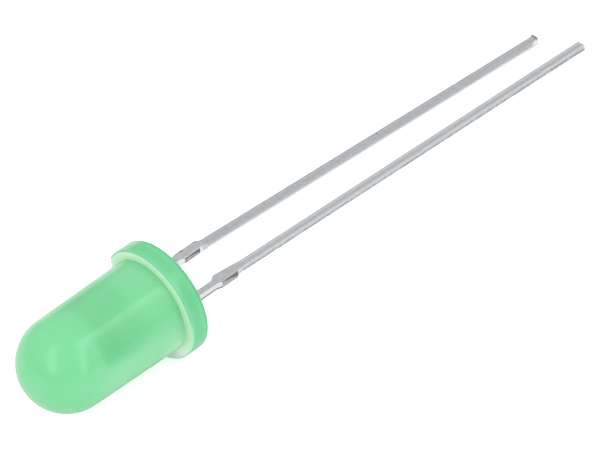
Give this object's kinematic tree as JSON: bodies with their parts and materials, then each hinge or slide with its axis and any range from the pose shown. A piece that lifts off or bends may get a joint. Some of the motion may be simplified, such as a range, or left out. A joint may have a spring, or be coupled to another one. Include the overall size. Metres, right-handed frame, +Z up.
{
  "type": "through hole led",
  "caption": "Round-top light-emitting diode in pale green diffused epoxy, with a flanged base, a flat on the cathode side and two straight tinned leads for mounting through a circuit board.",
  "frame": {"origin": "on the surface it lies on, under the middle of its bounding box", "axes": "+X from the dome towards the lead tips, +Y towards the cathode side, +Z up; the axis of the lens is level with X but for the small angle at which it rests"},
  "size_m": [0.036, 0.0056, 0.006],
  "materials": {
    "lens_epoxy": "cast epoxy, diffused and tinted pale green, smooth gloss",
    "lead_metal": "stamped steel strip, hot-dip tinned, satin with bare sheared stubs",
    "chip_crystal": "sawn amber semiconductor crystal",
    "silver_glue": "cured silver-filled glue",
    "gold_wire": "fine drawn gold wire"
  },
  "bodies": {
    "root": {"epoxy_lens": "lens_epoxy", "cathode_lead": "lead_metal", "anode_lead": "lead_metal", "led_chip": "chip_crystal", "die_attach": "silver_glue", "bond_wire": "gold_wire"}
  },
  "joints": []
}
